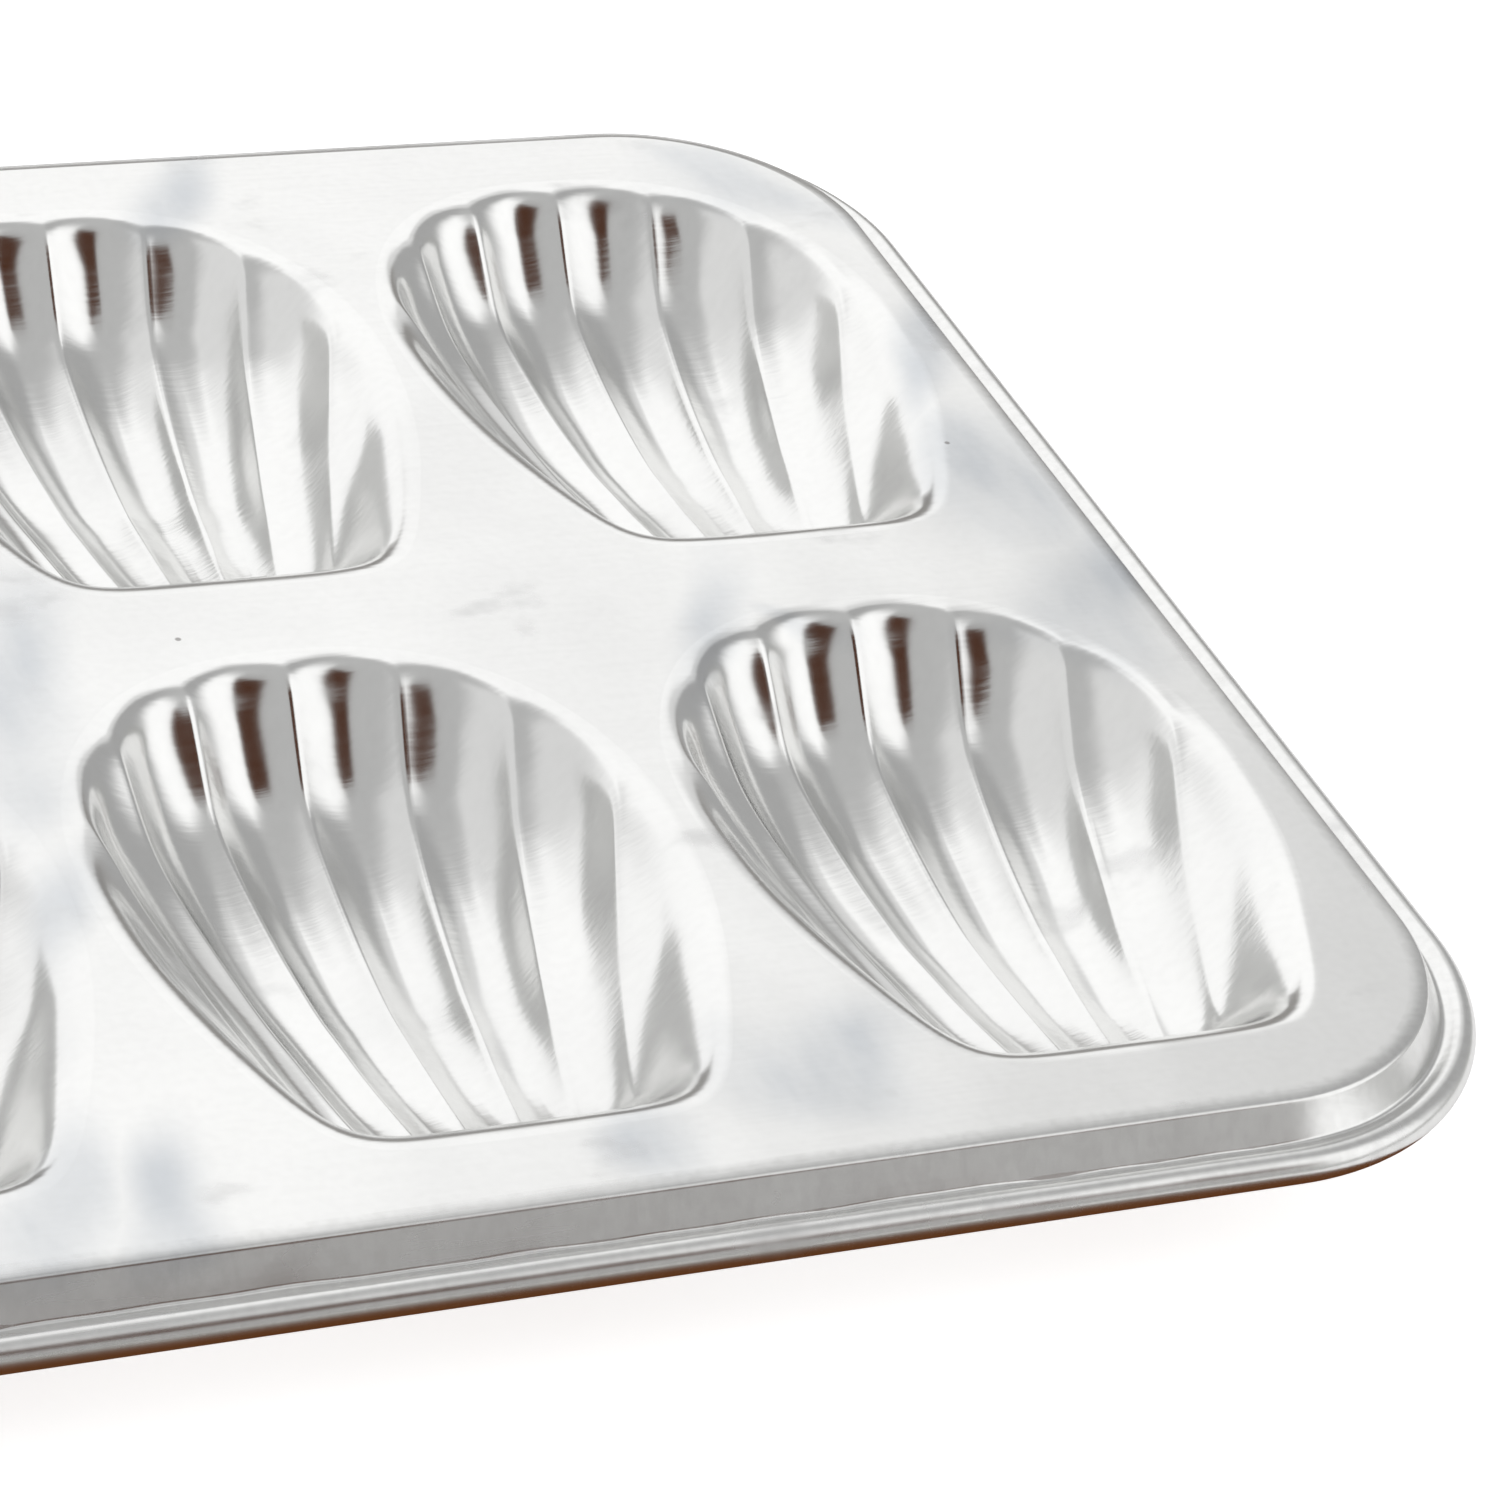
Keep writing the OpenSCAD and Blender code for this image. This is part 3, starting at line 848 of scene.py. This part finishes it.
def span(tree, value, first, last, low, high):
    """A value carried from one range to another, smoothly and with its ends held."""
    made = node(tree, "ShaderNodeMapRange", interpolation_type="SMOOTHSTEP")
    made.inputs["From Min"].default_value = first
    made.inputs["From Max"].default_value = last
    made.inputs["To Min"].default_value = low
    made.inputs["To Max"].default_value = high
    tree.links.new(value, made.inputs["Value"])
    return made.outputs["Result"]


def arithmetic(tree, operation, first, second):
    """One step of arithmetic on two sockets or numbers."""
    made = node(tree, "ShaderNodeMath", operation=operation)
    for value, socket in ((first, made.inputs[0]), (second, made.inputs[1])):
        if hasattr(value, "links"):
            tree.links.new(value, socket)
        else:
            socket.default_value = value
    return made.outputs["Value"]


def product(tree, first, second):
    """Two values multiplied."""
    return arithmetic(tree, "MULTIPLY", first, second)


def total(tree, first, second):
    """Two values added."""
    return arithmetic(tree, "ADD", first, second)


def new_material(name, colour, roughness, dent, grain):
    """A worn metal, or the one already made under this name."""
    if name in bpy.data.materials:
        return bpy.data.materials[name]
    material = bpy.data.materials.new(name)
    material.use_nodes = True
    tree = material.node_tree
    shader = tree.nodes["Principled BSDF"]
    shader.inputs["Metallic"].default_value = 1.0
    wear = node(tree, "ShaderNodeGroup", node_tree=wear_group())
    wear.inputs["Tin"].default_value = (*colour, 1)
    wear.inputs["Roughness"].default_value = roughness
    wear.inputs["Grain"].default_value = grain
    bump = node(tree, "ShaderNodeBump", Strength=1.0, Distance=dent)
    tree.links.new(node(tree, "ShaderNodeTexCoord").outputs["Object"], wear.inputs["Vector"])
    tree.links.new(wear.outputs["Color"], shader.inputs["Base Color"])
    tree.links.new(wear.outputs["Roughness"], shader.inputs["Roughness"])
    tree.links.new(wear.outputs["Height"], bump.inputs["Height"])
    tree.links.new(bump.outputs["Normal"], shader.inputs["Normal"])
    return material


def tin_sheet():
    """The bright tin of the deck."""
    return new_material("tin_sheet", bpy.context.scene.pan_finish.tin, 0.21, 0.0004, 0.025)


def tin_cup():
    """The tin of the cups, which the press leaves less even than the deck."""
    return new_material("tin_cup", bpy.context.scene.pan_finish.tin, 0.165, 0.0009, 0.025)


def tin_edge():
    """The tin of the skirt and rolled edge."""
    return new_material("tin_edge", bpy.context.scene.pan_finish.tin, 0.24, 0.0006, 0.07)


def node(tree, kind, place=(0, 0), **settings):
    """A node of a kind in a tree, with its settings and the values of its named inputs."""
    made = tree.nodes.new(kind)
    made.location = place
    for name, value in settings.items():
        if hasattr(made, name):
            setattr(made, name, value)
        else:
            made.inputs[name.replace("_", " ")].default_value = value
    return made


def blended(tree, share, first, second):
    """A colour between two colours or sockets."""
    mix = node(tree, "ShaderNodeMix", data_type="RGBA")
    tree.links.new(share, mix.inputs["Factor"])
    for value, socket in ((first, mix.inputs["A"]), (second, mix.inputs["B"])):
        if hasattr(value, "links"):
            tree.links.new(value, socket)
        else:
            socket.default_value = (*value, 1)
    return mix.outputs["Result"]


def heading_share(tree, direction):
    """Heading of a direction as a share of a turn from the back, by the right, the front and the left."""
    split = node(tree, "ShaderNodeSeparateXYZ")
    turn = node(tree, "ShaderNodeMath", operation="ARCTAN2")
    tree.links.new(direction, split.inputs["Vector"])
    tree.links.new(split.outputs["X"], turn.inputs[0])
    tree.links.new(split.outputs["Y"], turn.inputs[1])
    share = node(tree, "ShaderNodeMath", operation="FRACT")
    tree.links.new(product(tree, turn.outputs["Value"], 0.5 / math.pi), share.inputs[0])
    return share.outputs["Value"], split.outputs["Z"]


def heading_ramp(tree, share, studio):
    """Colour of the walls by heading, eased between the stops of HORIZON."""
    walls = node(tree, "ShaderNodeValToRGB")
    walls.color_ramp.interpolation = "EASE"
    stops = walls.color_ramp.elements
    stops.remove(stops[0])
    stops[0].position = HORIZON[-1][0]
    stops[0].color = (*getattr(studio, HORIZON[-1][1]), 1)
    for place, name in HORIZON[:-1]:
        stops.new(place).color = (*getattr(studio, name), 1)
    tree.links.new(share, walls.inputs["Fac"])
    return walls.outputs["Color"]


def band(tree, value, low, high, soft):
    """1 where a value lies between low and high, eased to 0 over a soft width beyond each."""
    rising = span(tree, value, low - soft, low, 0, 1)
    return product(tree, rising, span(tree, value, high, high + soft, 1, 0))


def studio_world(scene):
    """Pale walls whose light changes with the heading, panels set into them and a greyer ceiling."""
    world = bpy.data.worlds.new("studio")
    world.use_nodes = True
    tree = world.node_tree
    studio = scene.pan_studio
    direction = node(tree, "ShaderNodeTexCoord").outputs["Generated"]
    share, height = heading_share(tree, direction)
    light = heading_ramp(tree, share, studio)
    for name, start, end, side_soft, low, high, soft in PANELS:
        inside = product(tree, band(tree, share, start, end, side_soft), band(tree, height, low, high, soft))
        light = blended(tree, inside, light, getattr(studio, name))
    light = blended(tree, span(tree, height, 0.78, 0.98, 0, 1), light, studio.ceiling)
    camera_ray = node(tree, "ShaderNodeLightPath").outputs["Is Camera Ray"]
    background = tree.nodes["Background"]
    background.inputs["Strength"].default_value = 1.0
    tree.links.new(blended(tree, camera_ray, light, (1, 1, 1)), background.inputs["Color"])
    scene.world = world


def pale_floor(scene):
    """A pale floor whose own light brings it to white where nothing shades it."""
    material = bpy.data.materials.new("floor")
    material.use_nodes = True
    tree = material.node_tree
    shader = tree.nodes["Principled BSDF"]
    shader.inputs["Base Color"].default_value = (*scene.pan_finish.floor, 1)
    shader.inputs["Roughness"].default_value = 0.8
    shader.inputs["Specular IOR Level"].default_value = 0.0
    shader.inputs["Emission Color"].default_value = (1, 1, 1, 1)
    path = node(tree, "ShaderNodeLightPath")
    seen = product(tree, path.outputs["Is Camera Ray"], scene.pan_studio.floor_white)
    mirrored = product(tree, path.outputs["Is Glossy Ray"], scene.pan_studio.floor_glow)
    tree.links.new(total(tree, seen, mirrored), shader.inputs["Emission Strength"])
    size = 4.0
    corners = np.array([[-size, -size, 0], [size, -size, 0], [size, size, 0], [-size, size, 0]])
    floor = make_piece("floor", corners, np.array([[0, 1, 2, 3]]), material, smooth=False)
    floor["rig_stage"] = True


def front_card(scene):
    """A glowing card on the floor under and in front of the pan, dark at the pan and greyer away from it, that only the
    metal sees: a painted reflection of a dark brown surround, and near the pan a painted shadow that stands in for the
    floor shaded by the pan."""
    material = bpy.data.materials.new("front_card")
    material.use_nodes = True
    tree = material.node_tree
    tree.nodes.remove(tree.nodes["Principled BSDF"])
    glow = node(tree, "ShaderNodeEmission")
    place = node(tree, "ShaderNodeSeparateXYZ")
    tree.links.new(node(tree, "ShaderNodeTexCoord").outputs["Object"], place.inputs["Vector"])
    # Painted shadow: the card is darkest near the pan's front edge, where the floor lies in the pan's shade, and greyer
    # further out
    away = span(tree, place.outputs["Y"], -HALF_Y - 70 * MM, -HALF_Y - 8 * MM, 1, 0)
    shade = blended(tree, away, scene.pan_studio.card, scene.pan_studio.card_far)
    tree.links.new(shade, glow.inputs["Color"])
    tree.links.new(glow.outputs["Emission"], tree.nodes["Material Output"].inputs["Surface"])
    front = 12 * MM - HALF_Y
    corners = np.array([[-0.6, front - 0.6, 0.0005], [0.19, front - 0.6, 0.0005], [0.19, front, 0.0005], [-0.6, front, 0.0005]])
    card = make_piece("front_card", corners, np.array([[0, 1, 2, 3]]), material, smooth=False)
    card.visible_camera = False
    card.visible_diffuse = False
    card.visible_shadow = False
    card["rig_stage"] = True


def photo_camera(scene):
    """The camera at the photograph's place and angle."""
    camera = bpy.data.objects.new("camera", bpy.data.cameras.new("camera"))
    camera.data.sensor_width = 36
    camera.data.lens = scene.pan_studio.lens
    camera.data.clip_start = 0.01
    camera.location = scene.pan_studio.place
    camera.rotation_euler = scene.pan_studio.turn
    scene.collection.objects.link(camera)
    scene.camera = camera


class PAN_OT_studio(bpy.types.Operator):
    """Sets the floor, the soft world light and the camera"""

    bl_idname = "pan.studio"
    bl_label = "Studio"

    def execute(self, context):
        context.scene.view_settings.view_transform = "Standard"
        studio_world(context.scene)
        pale_floor(context.scene)
        front_card(context.scene)
        photo_camera(context.scene)
        return {"FINISHED"}


class PAN_PT_panel(bpy.types.Panel):
    """Lists the steps of the pan in the sidebar"""

    bl_label = "Madeleine pan"
    bl_space_type = "VIEW_3D"
    bl_region_type = "UI"
    bl_category = "Pan"

    def draw(self, context):
        for step in STEPS:
            self.layout.operator(step.bl_idname)
        for group in (context.scene.pan_cups, context.scene.pan_rim, context.scene.pan_finish):
            for name in group.__annotations__:
                self.layout.prop(group, name)


GROUPS = {"pan_cups": PanCups, "pan_rim": PanRim, "pan_finish": PanFinish, "pan_studio": PanStudio}
STEPS = (PAN_OT_cups, PAN_OT_deck, PAN_OT_rim, PAN_OT_wire, PAN_OT_studio)


def register():
    for kind in (*GROUPS.values(), *STEPS, PAN_PT_panel):
        bpy.utils.register_class(kind)
    for name, kind in GROUPS.items():
        setattr(bpy.types.Scene, name, bpy.props.PointerProperty(type=kind))


def unregister():
    for name in GROUPS:
        delattr(bpy.types.Scene, name)
    for kind in reversed((*GROUPS.values(), *STEPS, PAN_PT_panel)):
        bpy.utils.unregister_class(kind)


def main():
    """Builds the pan step by step."""
    register()
    bpy.ops.pan.cups()
    bpy.ops.pan.deck()
    bpy.ops.pan.rim()
    bpy.ops.pan.wire()
    bpy.ops.pan.studio()


if __name__ == "__main__":
    main()
